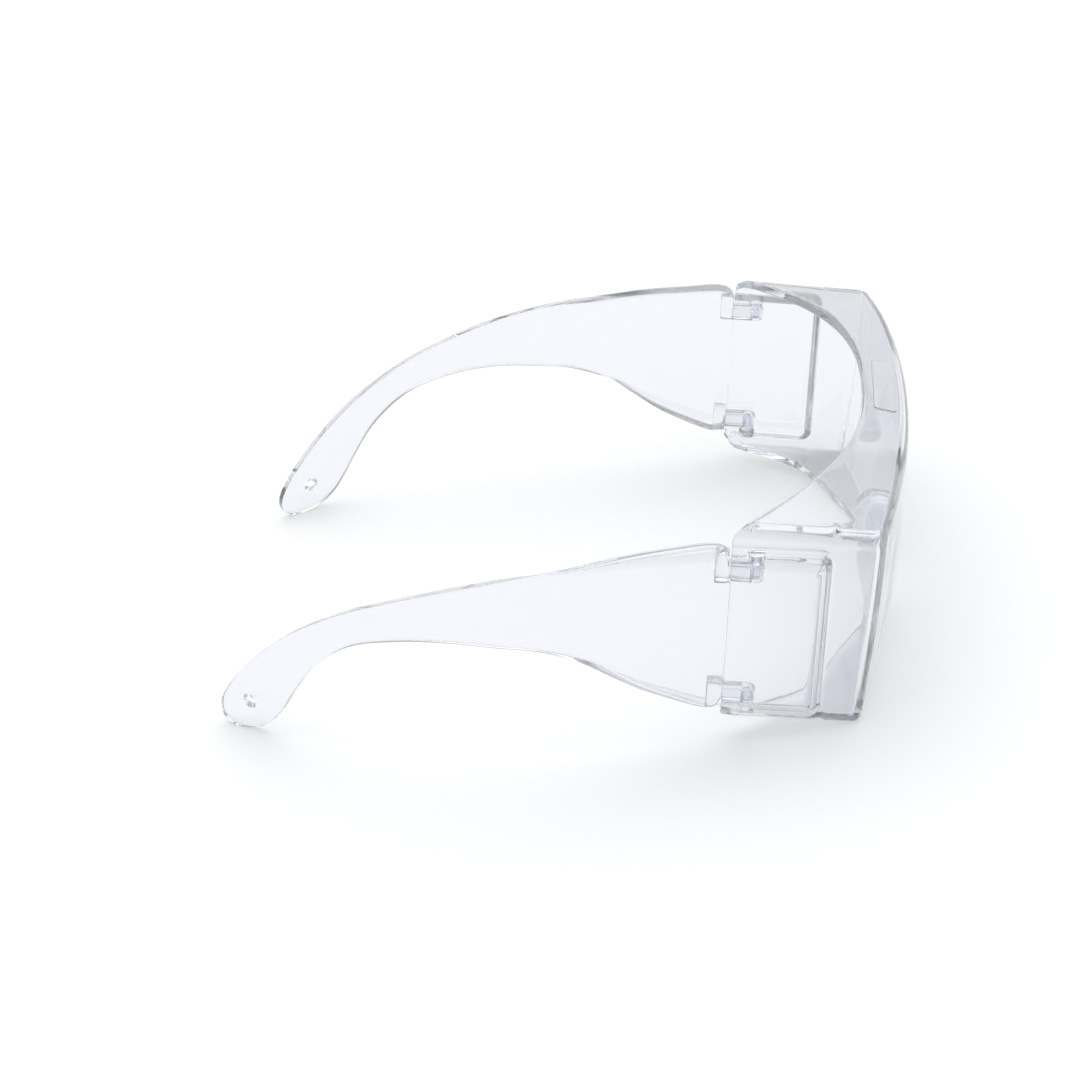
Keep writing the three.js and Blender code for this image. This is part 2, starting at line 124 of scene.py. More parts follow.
# hinges
HINGE_X = 68.1
EYE_RADIUS = 1.9
ARM_HEIGHT = 3.3
ARM_REAR = 6.4
UPPER_ARM_Z = 39.9
LOWER_ARM_Z = 9.6
ROOT_FRONT = 5.8
ROOT_REAR = 8.9
ROOT_OVERHANG = 1.1
ROOT_ROUNDING = 0.5
UPPER_ROOT = (39.8, 46.2)
LOWER_ROOT = (8.4, 14.2)
PEG_RADIUS = 1.7
PEG_SHANK_RADIUS = 1.0
PEG_CHAMFER = 0.25
PEG_ROUNDING = 0.08
PEG_SHANK_CHAMFER = 0.15
PEG_STEP_CHAMFER = 0.1
PEG_SHANK_INSET = 0.5
PEG_STEP_GAP = 0.3
PEG_BORE_GAP = 0.25
UPPER_PEG_TOP = 45.6
LOWER_PEG_BOTTOM = 7.0
SOCKET_RADIUS = 1.95
SOCKET_END_GAP = 0.3
UPPER_SOCKET_MOUTH = 43.0
LOWER_SOCKET_MOUTH = 10.5

# temples: their upper and lower outlines as (y, z)
TEMPLE_X = SHIELD_X + POCKET_DEPTH
TEMPLE_STRAIGHT = 45.0
TEMPLE_SPLAY = 0.03
TEMPLE_RADIUS = 110.0
TEMPLE_SHOULDER = 4.2
SHOULDER_START = 7.0
SHOULDER_END = 53.0
SHOULDER_LIMIT = 2.6  # a blade narrower than this many shoulders gets narrower shoulders
TIP_CENTRE = (112.4, -8.0)
CORD_HOLE_RADIUS = 1.4
TEMPLE_TOP = [
    (5.7, 45.4), (6.6, 47.3), (9, 48.2), (18.3, 46.9), (28.3, 45.0), (38.4, 42.3), (48.7, 39.6),
    (58.8, 36.6), (69.1, 33.0), (79.6, 28.5), (90.5, 22.9), (101.7, 14.7), (109.0, 7.3),
    (114.3, 0.4), (118.1, -5.8), (120.0, -10.8), (119.5, -14.1), (117.0, -15.9)]
TEMPLE_BOTTOM = [
    (5.7, 9.4), (6.6, 7.6), (9, 7.1), (16.1, 8.9), (23.6, 11.6), (30, 14.9), (37, 18.6),
    (45.8, 20.9), (56, 21.1), (66, 20.9), (77, 19.2), (88.5, 15.0), (97.0, 7.2),
    (101.8, -1.0), (104.4, -6.4), (107.2, -11.0), (111.0, -14.3), (115.6, -15.85)]

# ---- fineness of the meshes ----

EDGE_STEPS = 5
END_TURN = 0.9 * math.pi / 2  # an end's rounding turns this far, and closes flat
DRAWN_BAND = 5.0  # grid points this near a free edge make room for its rounding
PROFILE_STEPS = 12
COLUMN_STEP = 0.35
POCKET_COLUMN_GAP = 1.2
SHIELD_COLUMNS = 22
SHIELD_FRONT_COLUMNS = 8
CORNER_COLUMNS = 15
CORNER_MARGINS = (0.5, 1.2)
LENS_COLUMNS = 26
NOSE_COLUMNS = 40
NOSE_COLUMNS_X = (24.0, 23.2)
WALL_ROWS = 16
ROWS_ABOVE_POCKET = (0.35, 0.15)
UPPER_TURN_ROWS = 10
LOWER_TURN_ROWS = 9
SHELF_ROWS = 8
CHEEK_SAMPLES = 160
RUNG_SHARE = 0.15
FRONT_RUNGS = 14
REAR_RUNGS = 120
BLADE_ROWS = 10
ROUND_POINTS = 48
SMALL_ROUND_POINTS = 32
CORD_HOLE_POINTS = 40
PLATE_CORNER_STEPS = 6
PLATE_RIM_STEPS = 5
BEVEL_STEPS = 3
BEVEL_ANGLE = math.radians(50)
SMOOTH_ANGLE = math.radians(40)
CUT_MARGIN = 1.0
CORD_HOLE_REACH = 8.0


def clamp(value, low, high):
    return max(low, min(high, value))


def lerp(a, b, t):
    return a + (b - a) * t


def smoothstep(value, low, high):
    t = clamp((value - low) / (high - low), 0, 1)
    return t * t * (3 - 2 * t)


def smooth_curve(points):
    """A centripetal Catmull-Rom curve through points, as a function of 0 to 1."""
    pts = [np.array(p, float) for p in points]
    pts = [2 * pts[0] - pts[1]] + pts + [2 * pts[-1] - pts[-2]]
    spans = len(pts) - 3

    def at(t):
        u = clamp(t, 0, 1) * spans
        k = min(int(u), spans - 1)
        u -= k
        p0, p1, p2, p3 = pts[k:k + 4]
        pairs = ((p0, p1), (p1, p2), (p2, p3))
        d1, d2, d3 = (max(np.linalg.norm(b - a) ** 0.5, 1e-4) for a, b in pairs)
        m1 = (p1 - p0) / d1 - (p2 - p0) / (d1 + d2) + (p2 - p1) / d2
        m2 = (p2 - p1) / d2 - (p3 - p1) / (d2 + d3) + (p3 - p2) / d3
        m1, m2 = m1 * d2, m2 * d2
        return ((2 * p1 - 2 * p2 + m1 + m2) * u ** 3
                + (-3 * p1 + 3 * p2 - 2 * m1 - m2) * u ** 2 + m1 * u + p1)
    return at


# ---- the front's shape in plan ----

def side_x(y):
    return SHIELD_X - SHIELD_TAPER * (SHIELD_REAR - y)


def lens_y(x):
    return -LENS_APEX + x * x / (2 * LENS_RADIUS)


def brow_y(x):
    return -BROW_APEX + BROW_DEPTH * (abs(x) / SHIELD_X) ** BROW_POWER


def pocket_profile():
    """Rise of the pocket's shoulder: (distance inside its outline, height) pairs."""
    bulge = POCKET_DEPTH - CREASE_RADIUS
    hollow = [(CREASE_RADIUS * math.sin(a), CREASE_RADIUS * (1 - math.cos(a)))
              for a in np.linspace(0, math.pi / 2, PROFILE_STEPS // 2)]
    shoulder = [(CREASE_RADIUS + bulge * (1 - math.cos(a)), CREASE_RADIUS + bulge * math.sin(a))
                for a in np.linspace(0, math.pi / 2, PROFILE_STEPS)[1:]]
    return hollow + shoulder


PROFILE_IN, PROFILE_UP = (list(column) for column in zip(*pocket_profile()))


def stations():
    """Columns of the front from the rear of a side shield to the middle of the lens.

    reach runs from 0 to 1 along the side, to 2 round the corner and to 3 along the lens.
    """
    slope = math.atan(LENS_EDGE_X / LENS_RADIUS)
    centre_y = lens_y(LENS_EDGE_X) + CORNER_RADIUS * math.cos(slope)
    centre_x = side_x(centre_y) - CORNER_RADIUS
    turn_start, turn_end = math.atan(SHIELD_TAPER), math.pi / 2 - slope
    side_margin, lens_margin = CORNER_MARGINS
    shoulder = [POCKET_FRONT + h for h in PROFILE_IN]
    ys = list(np.linspace(SHIELD_REAR, shoulder[-1] + POCKET_COLUMN_GAP, SHIELD_COLUMNS))
    ys += shoulder[::-1]
    ys += [POCKET_FRONT - COLUMN_STEP, POCKET_FRONT - 2 * COLUMN_STEP]
    ys += list(np.linspace(POCKET_FRONT - 3 * COLUMN_STEP, centre_y + side_margin,
                           SHIELD_FRONT_COLUMNS))
    found = []
    for y in ys:
        found.append(dict(zone="side", x=side_x(y), y=y, nx=1.0, ny=-SHIELD_TAPER,
                          reach=(SHIELD_REAR - y) / (SHIELD_REAR - centre_y)))
    for turn in np.linspace(turn_start, turn_end, CORNER_COLUMNS):
        found.append(dict(zone="corner", x=centre_x + CORNER_RADIUS * math.cos(turn),
                          y=centre_y - CORNER_RADIUS * math.sin(turn),
                          nx=math.cos(turn), ny=-math.sin(turn),
                          reach=1 + (turn - turn_start) / (turn_end - turn_start)))
    start = centre_x + CORNER_RADIUS * math.cos(turn_end)
    xs = list(np.linspace(start - lens_margin, NOSE_COLUMNS_X[0], LENS_COLUMNS))
    xs += list(np.linspace(NOSE_COLUMNS_X[1], 0, NOSE_COLUMNS))
    for x in xs:
        lean = math.atan(x / LENS_RADIUS)
        found.append(dict(zone="lens", x=x, y=lens_y(x), nx=math.sin(lean), ny=-math.cos(lean),
                          reach=2 + (1 - x / LENS_EDGE_X)))
    return found


# ---- the front's shape in height ----

def standing_height(x):
    """Underside of the lens: it follows the table that the glasses stand on."""
    return -math.tan(LEAN) * (lens_y(x) + LENS_SETBACK) - STANDING_DROP


def lower_edge(st):
    if st["zone"] != "lens":
        rise = clamp((st["y"] - REAR_RISE_START) / (SHIELD_REAR - REAR_RISE_START), 0, 1)
        return standing_height(st["x"]) + REAR_RISE * rise ** 2
    arch = math.cos(math.pi * clamp(st["x"] / NOSE_HALF_WIDTH, 0, 1) / 2) ** 2
    return standing_height(st["x"]) + NOSE_HEIGHT * arch


def shelf_height(x, y):
    """Height of the brow shelf over a point of the plan."""
    front, rear = lens_y(x), brow_y(x)
    low = SHELF_FRONT_HEIGHT - SHELF_FRONT_DROP * (abs(x) / SHELF_FRONT_HALF_WIDTH) ** 3
    high = SHELF_REAR_HEIGHT - SHELF_REAR_DROP * (abs(x) / SHELF_REAR_HALF_WIDTH) ** 3
    return lerp(low, high, (y - front) / (rear - front))


def brow_point(st):
    """The brow shelf's free edge across from a station."""
    reach = st["reach"]
    if st["zone"] == "side":
        x = lerp(BROW_END_X, BROW_CORNER_X, clamp(reach, 0, 1) ** BROW_SPREAD)
    elif st["zone"] == "corner":
        x = lerp(BROW_CORNER_X, BROW_LENS_X, clamp(reach - 1, 0, 1))
    else:
        x = BROW_LENS_X * st["x"] / LENS_EDGE_X
    y = brow_y(x)
    return np.array([x, y, shelf_height(x, y)])


cheek_curve = smooth_curve(CHEEK_LINE)
nose_curve = smooth_curve(NOSE_LINE)
CHEEK_TABLE = np.array([cheek_curve(t) for t in np.linspace(0, 1, CHEEK_SAMPLES)])[::-1]


def cheek_height(x, y):
    """Height of the cheek flange's underside over a point of the plan."""
    front = lens_y(x)
    rear = float(np.interp(x, CHEEK_TABLE[:, 0], CHEEK_TABLE[:, 1]))
    share = clamp((y - front) / (rear - front), 0, 1)
    return standing_height(x) + CHEEK_RISE * share * (1 - (x / SHIELD_X) ** 4)


def nose_curve_y(x):
    """The nose saddle's free edge: its y at a given x, by halving steps."""
    t, step = 0.5, 0.25
    while step > 1e-5:
        t += step if nose_curve(t)[0] > x else -step
        step /= 2
    return nose_curve(t)[1]


def flange_point(st, low):
    """The flange's free edge across from a station whose lower edge is at height low."""
    if st["zone"] == "lens" and st["x"] <= NOSE_FLANGE_X:
        return np.array([st["x"], nose_curve_y(st["x"]), low])
    corner_start, corner_end = CHEEK_CORNER_SHARES
    if st["zone"] == "side":
        share = corner_start * st["reach"]
    elif st["zone"] == "corner":
        share = lerp(corner_start, corner_end, st["reach"] - 1)
    else:
        way = (LENS_EDGE_X - st["x"]) / (LENS_EDGE_X - NOSE_FLANGE_X)
        share = lerp(corner_end, 1, way)
    x, y = cheek_curve(share)
    rise = (cheek_height(x, y) - standing_height(x)) * smoothstep(x, *CHEEK_BLEND)
    return np.array([x, y, max(low, standing_height(x)) + rise])


def pocket_point(y, z):
    """A point of the flat side wall moved onto the pocket: (outward, y, z)."""
    s = y - POCKET_FRONT
    e = min(POCKET_TOP - z, z - POCKET_BOTTOM)
    upper = POCKET_TOP - z < z - POCKET_BOTTOM
    inside = min(s, e)
    if inside < POCKET_CORNER and max(s, e) < POCKET_CORNER + 1e-9 and inside > -POCKET_FADE:
        # the outline's corner is round: slide the point along its own level line
        radius = POCKET_CORNER - max(inside, 0)
        run = POCKET_CORNER - max(s, e)
        turn = clamp(run / max(POCKET_CORNER - inside, 1e-6), 0, 1) * math.pi / 4
        near = POCKET_CORNER - radius * math.cos(turn)
        far = POCKET_CORNER - radius * math.sin(turn)
        fade = 1 + min(inside, 0) / POCKET_FADE
        s2, e2 = (near, far) if s < e else (far, near)
        if inside < 0:
            shift_s, shift_e = s2 - max(s, 0), e2 - max(e, 0)
            s, e = s + shift_s * fade, e + shift_e * fade
        else:
            s, e = s2, e2
        y = POCKET_FRONT + s
        z = POCKET_TOP - e if upper else POCKET_BOTTOM + e
    out = float(np.interp(inside, PROFILE_IN, PROFILE_UP)) if inside > 0 else 0.0
    return out, y, z


def lens_offset(x, z):
    """How far the lens stands in front of its plan outline at a point of its height."""
    across = max(0, 1 - (x / LENS_BULGE_HALF_WIDTH) ** 2)
    up = math.sin(math.pi * clamp((LENS_BULGE_TOP - z) / LENS_BULGE_HEIGHT, 0, 1))
    down = clamp(LENS_SETBACK_TOP - z, 0, LENS_SETBACK_TOP) / LENS_SETBACK_HEIGHT
    return LENS_BULGE * across * up - LENS_SETBACK * down ** 2


def turned_edge(wall, corner, end, height, steps):
    """Rounded turn from a wall onto a shelf whose surface is height(x, y), up to its free edge."""
    radius = np.linalg.norm(corner - wall)
    reach = np.linalg.norm((end - corner)[:2])
    onward = corner + (end - corner) * radius / max(reach, 1e-6)
    onward[2] = height(onward[0], onward[1])
    outward = (onward - corner) / radius
    upward = (corner - wall) / radius

    def arc(angle):
        return wall + outward * radius * (1 - math.cos(angle)) + upward * radius * math.sin(angle)

    if reach > radius + SHORTEST_SHELF:
        turned = [arc(a) for a in np.linspace(0, math.pi / 2, steps)]
        for k in range(1, SHELF_ROWS + 1):
            p = lerp(turned[steps - 1], end, k / SHELF_ROWS)
            p[2] = height(p[0], p[1])
            turned.append(p)
        return turned
    last = math.acos(max(1 - reach / radius, 0))
    return [arc(a) for a in np.linspace(0, last, steps + SHELF_ROWS)]


def wall_heights(top, bottom):
    """Heights of the wall's rows, dense over the pocket's shoulders."""
    upper = [POCKET_TOP - h for h in PROFILE_IN]
    lower = [POCKET_BOTTOM + h for h in PROFILE_IN][::-1]
    middle = list(np.linspace(upper[-1], lower[0], WALL_ROWS))[1:-1]
    heights = [POCKET_TOP + gap for gap in ROWS_ABOVE_POCKET] + upper + middle + lower
    span = heights[0] - POCKET_BOTTOM
    return [lerp(bottom, top, (z - POCKET_BOTTOM) / span) for z in heights]


def front_section(st):
    """Outer points of the front at a station, from the brow's free edge to the flange's."""
    top, low = shelf_height(st["x"], st["y"]), lower_edge(st)
    brow, flange = brow_point(st), flange_point(st, low)

    def wall_point(z):
        if st["zone"] == "side":
            out, y, z = pocket_point(st["y"], z)
            return np.array([side_x(y) + out, y, z])
        out = lens_offset(st["x"], z) * max(0.0, -st["ny"])
        return np.array([st["x"] + st["nx"] * out, st["y"] + st["ny"] * out, z])

    turn = 0 if st["zone"] == "side" else clamp(st["reach"] - 1, 0, 1)
    upper_radius = lerp(UPPER_FILLET_SIDE, UPPER_FILLET_LENS, turn)
    upper_corner, lower_corner = wall_point(top), wall_point(low)
    upper_start, lower_start = wall_point(top - upper_radius), wall_point(low + LOWER_FILLET)
    heights = wall_heights(top - upper_radius - UPPER_FILLET_GAP, low + LOWER_FILLET)

    def flange_height(x, y):
        share = np.linalg.norm([x - lower_corner[0], y - lower_corner[1]])
        share /= max(np.linalg.norm((flange - lower_corner)[:2]), 1e-6)
        straight = lerp(low, flange[2], share)
        return lerp(straight, cheek_height(x, y), smoothstep(x, *CHEEK_BLEND))

    shelf = turned_edge(upper_start, upper_corner, brow, shelf_height, UPPER_TURN_ROWS)
    floor = turned_edge(lower_start, lower_corner, flange, flange_height, LOWER_TURN_ROWS)
    return shelf[::-1] + [wall_point(z) for z in heights[:-1]] + floor


# ---- closed walls from grids of outer points ----

def unit(vectors):
    return vectors / np.maximum(np.linalg.norm(vectors, axis=-1, keepdims=True), 1e-12)


def grid_normals(grid, sign, square_ends):
    """Vertex normals of a grid, each neighbouring face counting the same."""
    faces = unit(np.cross(grid[1:, 1:] - grid[:-1, :-1], grid[:-1, 1:] - grid[1:, :-1]))
    normals = np.zeros_like(grid)
    for di in (0, 1):
        for dj in (0, 1):
            normals[di:di + faces.shape[0], dj:dj + faces.shape[1]] += faces
    for end in square_ends:
        normals[end, :, 1] = 0
    normals /= np.linalg.norm(normals, axis=2, keepdims=True)
    return normals * sign


def draw_in(line):
    """A polyline with both ends drawn in to make room for a rounding."""
    lengths = np.linalg.norm(np.diff(line, axis=0), axis=1)
    s = np.concatenate([[0], np.cumsum(lengths)])
    band = min(DRAWN_BAND, s[-1] / 2)
    shrink = 1 - EDGE_ROUNDING / band
    moved = np.where(s < band, EDGE_ROUNDING + s * shrink, s)
    back = s[-1] - s
    moved = np.where(back < band, s[-1] - EDGE_ROUNDING - back * shrink, moved)
    return np.stack([np.interp(moved, s, line[:, k]) for k in range(3)], axis=1)


def wall_faces(last, count):
    """Faces between columns 0 to last, each an outer and then an inner chain of count points."""
    def outer(i, k):
        return 2 * count * i + k

    def inner(i, k):
        return 2 * count * i + count + k

    faces = []
    for i in range(last):
        for k in range(count - 1):
            faces.append((outer(i, k), outer(i, k + 1), outer(i + 1, k + 1), outer(i + 1, k)))
            faces.append((inner(i, k), inner(i + 1, k), inner(i + 1, k + 1), inner(i, k + 1)))
        k = count - 1
        faces.append((outer(i, 0), outer(i + 1, 0), inner(i + 1, 0), inner(i, 0)))
        faces.append((outer(i, k), inner(i, k), inner(i + 1, k), outer(i + 1, k)))
    for k in range(count - 1):
        faces.append((outer(0, k), inner(0, k), inner(0, k + 1), outer(0, k + 1)))
        faces.append((outer(last, k), outer(last, k + 1), inner(last, k + 1), inner(last, k)))
    return faces


def shell_mesh(grid, sign, end_ways):
    """A closed wall behind a grid of outer points, with all its free edges rounded.

    end_ways gives the direction in which each end column's face looks, or None to follow the grid.
    """
    square = [end for end, way in zip((0, -1), end_ways) if way is not None]
    g = np.array([draw_in(column) for column in grid])
    g = np.array([draw_in(g[:, j]) for j in range(g.shape[1])]).transpose(1, 0, 2)
    normals = grid_normals(g, sign, square)
    ways = [unit(g[:, 0] - g[:, 1]), unit(g[:, -1] - g[:, -2])]
    ways = [unit(w - normals[:, k] * np.sum(w * normals[:, k], axis=1, keepdims=True))
            for w, k in zip(ways, (0, -1))]
    quarter = np.linspace(math.pi / 2, 0, EDGE_STEPS + 1)[:-1]

    def chains(i, depth, shift):
        """Outer and inner chains of one column, sunk by depth and moved by shift."""
        radius = EDGE_ROUNDING - depth
        found = []
        for face, centre in ((1, EDGE_ROUNDING), (-1, WALL - EDGE_ROUNDING)):
            rim = [[g[i, end] - normals[i, end] * centre + ways[k][i] * radius * math.sin(a)
                    + normals[i, end] * face * radius * math.cos(a) for a in quarter]
                   for k, end in enumerate((0, -1))]
            level = depth if face == 1 else WALL - depth
            sheet = list(g[i] - normals[i] * level)
            found.append(np.array(rim[0] + sheet + rim[1][::-1]) + shift)
        return found

    def end_columns(i, neighbour, way):
        """Columns that round off the end at column i, the outermost first."""
        if way is None:
            way = np.mean(unit(grid[i] - grid[neighbour]), axis=0)
        found = []
        for k in range(EDGE_STEPS, 0, -1):
            turn = END_TURN * k / EDGE_STEPS
            shift = np.array(way, float) * EDGE_ROUNDING * math.sin(turn)
            found.append(chains(i, EDGE_ROUNDING * (1 - math.cos(turn)), shift))
        return found

    columns = end_columns(0, 1, end_ways[0])
    columns += [chains(i, 0.0, 0.0) for i in range(len(g))]
    columns += end_columns(-1, -2, end_ways[1])[::-1]
    verts = np.concatenate([chain for column in columns for chain in column])
    return verts, wall_faces(len(columns) - 1, len(columns[0][0]))


# ---- mesh objects ----

def to_part(points):
    """Points of the wearing frame in mm, to the part's frame in metres."""
    p = np.asarray(points, float)
    c, s = math.cos(LEAN), math.sin(LEAN)
    turned = np.stack([p[:, 0], p[:, 1] * c - p[:, 2] * s, p[:, 1] * s + p[:, 2] * c], axis=1)
    return (turned + np.array(HINGE_FRAME_SHIFT)) * MM


def make_object(name, verts, faces):
    mesh = bpy.data.meshes.new(name)
    mesh.from_pydata([tuple(v) for v in to_part(verts)], [], faces)
    bm = bmesh.new()
    bm.from_mesh(mesh)
    bmesh.ops.recalc_face_normals(bm, faces=bm.faces)
    bm.to_mesh(mesh)
    bm.free()
    obj = bpy.data.objects.new(name, mesh)
    bpy.context.scene.collection.objects.link(obj)
    return obj


def stacked_faces(n, levels):
    """Faces of a closed stack of rings of n points each, with flat ends."""
    last = (levels - 1) * n
    faces = [tuple(range(n))[::-1], tuple(range(last, last + n))]
    for a in range(0, last, n):
        faces += [(a + k, a + (k + 1) % n, a + n + (k + 1) % n, a + n + k) for k in range(n)]
    return faces


def prism(name, outline, low, high):
    """A plan outline (x, y) drawn up between two heights."""
    verts = [(x, y, z) for z in (low, high) for x, y in outline]
    return make_object(name, verts, stacked_faces(len(outline), 2))


def circle(radius, x, y, count=ROUND_POINTS, start=0.0, turn=2 * math.pi):
    angles = [start + turn * k / count for k in range(count)]
    return [(x + radius * math.cos(a), y + radius * math.sin(a)) for a in angles]


def lathe(name, profile, x, y):
    """A profile of (radius, height) pairs turned about an upright axis."""
    count = ROUND_POINTS
    verts = [(x, y, profile[0][1])]
    for r, z in profile[1:-1]:
        verts += [(px, py, z) for px, py in circle(r, x, y)]
    verts.append((x, y, profile[-1][1]))
    rings = len(profile) - 2
    faces = []
    for k in range(count):
        nxt = (k + 1) % count
        faces.append((0, 1 + nxt, 1 + k))
        for r in range(rings - 1):
            a = 1 + r * count
            faces.append((a + k, a + nxt, a + count + nxt, a + count + k))
        last = 1 + (rings - 1) * count
        faces.append((last + k, last + nxt, len(verts) - 1))
    return make_object(name, verts, faces)


def apply_modifiers(obj):
    graph = bpy.context.evaluated_depsgraph_get()
    mesh = bpy.data.meshes.new_from_object(obj.evaluated_get(graph))
    old = obj.data
    obj.modifiers.clear()
    obj.data = mesh
    bpy.data.meshes.remove(old)


def combine(obj, tools, operation):
    """Adds tools to an object or cuts them out of it; the tools are used up."""
    for tool in tools:
        mod = obj.modifiers.new(operation, "BOOLEAN")
        mod.operation = operation
        mod.solver = "MANIFOLD"
        mod.object = tool
        apply_modifiers(obj)
        bpy.data.objects.remove(tool)


def soften(obj, width=EDGE_ROUNDING):
    """Small moulded radii along an object's sharp edges."""
    mod = obj.modifiers.new("edge rounding", "BEVEL")
    mod.width = width * MM
    mod.segments = BEVEL_STEPS
    mod.limit_method = "ANGLE"
    mod.angle_limit = BEVEL_ANGLE
    apply_modifiers(obj)
    return obj


def smooth(obj):
    mesh = obj.data
    mesh.polygons.foreach_set("use_smooth", [True] * len(mesh.polygons))
    mesh.set_sharp_from_angle(angle=SMOOTH_ANGLE)


# ---- the front ----

def rounded_rectangle(length, width, corner):
    """Outline of a plate with round corners, centred on the origin."""
    outline = []
    for quarter, (sx, sy) in enumerate(((1, 1), (-1, 1), (-1, -1), (1, -1))):
        for k in range(PLATE_CORNER_STEPS + 1):
            a = (quarter + k / PLATE_CORNER_STEPS) * math.pi / 2
            outline.append((sx * (length / 2 - corner) + corner * math.cos(a),
                            sy * (width / 2 - corner) + corner * math.sin(a)))
    return outline


def brow_pad():
    """The blank plate that stands a little proud of the brow shelf, its rim softened."""
    rim = PAD_HEIGHT - PAD_ROUNDING
    levels = [(0, -PAD_ROOT), (0, rim)]
    levels += [(PAD_ROUNDING * (1 - math.cos(a)), rim + PAD_ROUNDING * math.sin(a))
               for a in np.linspace(0, math.pi / 2, PLATE_RIM_STEPS)[1:]]
    verts = []
    for inset, rise in levels:
        length, width = PAD_LENGTH - 2 * inset, PAD_WIDTH - 2 * inset
        for x, y in rounded_rectangle(length, width, PAD_CORNER - inset):
            y += PAD_CENTRE_Y
            verts.append((x, y, shelf_height(0, y) + rise))
    faces = stacked_faces(len(verts) // len(levels), len(levels))
    return make_object("brow pad", verts, faces)


def build_front():
    half = [front_section(st) for st in stations()]
    mirrored = [[p * np.array([-1, 1, 1]) for p in section] for section in half[:-1]][::-1]
    grid = np.array(half + mirrored)
    front = make_object("front_shell", *shell_mesh(grid, 1, ((0, 1, 0), (0, 1, 0))))
    upper_end = UPPER_PEG_TOP + SOCKET_END_GAP
    lower_end = LOWER_PEG_BOTTOM - SOCKET_END_GAP
    sockets = []
    for side in (1, -1):
        ring = circle(SOCKET_RADIUS, side * HINGE_X, 0)
        sockets.append(prism("socket", ring, UPPER_SOCKET_MOUTH, upper_end))
        sockets.append(prism("socket", ring, lower_end, LOWER_SOCKET_MOUTH))
    combine(front, sockets, "DIFFERENCE")
    combine(front, [brow_pad()], "UNION")
    return front


# ---- the temples ----

temple_top = smooth_curve(TEMPLE_TOP)
temple_bottom = smooth_curve(TEMPLE_BOTTOM)


def temple_x(y):
    bent = max(0.0, y - TEMPLE_STRAIGHT)
    return TEMPLE_X + TEMPLE_SPLAY * (y - SHIELD_REAR) - bent ** 2 / (2 * TEMPLE_RADIUS)


def temple_rungs():
    """Pairs of points across the blade, closer together at its front end."""
    shares = list(np.linspace(0, RUNG_SHARE, FRONT_RUNGS))
    shares += list(np.linspace(RUNG_SHARE, 1, REAR_RUNGS))[1:]
    return [(temple_top(t), temple_bottom(t)) for t in shares]


def temple_section(top, bottom):
    """Outer points of the blade along one rung, its shoulders turned in near the hinge."""
    height = np.linalg.norm(top - bottom)
    y = (top[0] + bottom[0]) / 2
    radius = TEMPLE_SHOULDER * smoothstep(SHOULDER_END - y, 0, SHOULDER_END - SHOULDER_START)
    band = TEMPLE_SHOULDER / max(height, SHOULDER_LIMIT * TEMPLE_SHOULDER)
    shares = [band * (1 - math.cos(a)) for a in np.linspace(0, math.pi / 2, BLADE_ROWS)]
    middle = list(np.linspace(band, 1 - band, BLADE_ROWS))[1:-1]
    found = []
    for share in shares + middle + [1 - s for s in shares][::-1]:
        p = lerp(top, bottom, share)
        inside = min(share, 1 - share) * height
        rise = clamp(inside / TEMPLE_SHOULDER, 0, 1)
        turned = radius * (1 - math.sqrt(max(0.0, 1 - (1 - rise) ** 2)))
        found.append([temple_x(p[0]) - turned, p[0], p[1]])
    return found


def on_side(side, outline):
    return [(side * x, y) for x, y in outline]


def cord_hole(side):
    """The tool that cuts the cord hole: a round bar across the blade's tip."""
    x = side * temple_x(TIP_CENTRE[0])
    ring = circle(CORD_HOLE_RADIUS, *TIP_CENTRE, CORD_HOLE_POINTS)
    verts = [(end, y, z) for end in (x - CORD_HOLE_REACH, x + CORD_HOLE_REACH) for y, z in ring]
    return make_object("cord hole", verts, stacked_faces(len(ring), 2))


def build_temple(side):
    grid = np.array([temple_section(*rung) for rung in temple_rungs()])
    grid[:, :, 0] *= side
    temple = make_object("temple_blade", *shell_mesh(grid, -side, ((0, -1, 0), None)))
    x0, x1 = HINGE_X - EYE_RADIUS, HINGE_X + EYE_RADIUS
    x2 = x1 + ROOT_OVERHANG
    half_turn = math.pi * SMALL_ROUND_POINTS / (SMALL_ROUND_POINTS - 1)
    eye = circle(EYE_RADIUS, HINGE_X, 0, SMALL_ROUND_POINTS, math.pi, half_turn)
    arm = on_side(side, [(x0, ARM_REAR)] + eye + [(x1, ARM_REAR)])
    root = on_side(side, [(x0, ROOT_FRONT), (x2, ROOT_FRONT), (x2, ROOT_REAR), (x0, ROOT_REAR)])
    bore = on_side(side, circle(PEG_SHANK_RADIUS + PEG_BORE_GAP, HINGE_X, 0, SMALL_ROUND_POINTS))
    additions, cuts = [], []
    for arm_low, root_ends in ((UPPER_ARM_Z, UPPER_ROOT), (LOWER_ARM_Z, LOWER_ROOT)):
        arm_high = arm_low + ARM_HEIGHT
        additions.append(soften(prism("arm", arm, arm_low, arm_high)))
        additions.append(soften(prism("root", root, *root_ends), ROOT_ROUNDING))
        cuts.append(prism("bore", bore, arm_low - CUT_MARGIN, arm_high + CUT_MARGIN))
    combine(temple, additions, "UNION")
    cuts.append(cord_hole(side))
    combine(temple, cuts, "DIFFERENCE")
    return temple


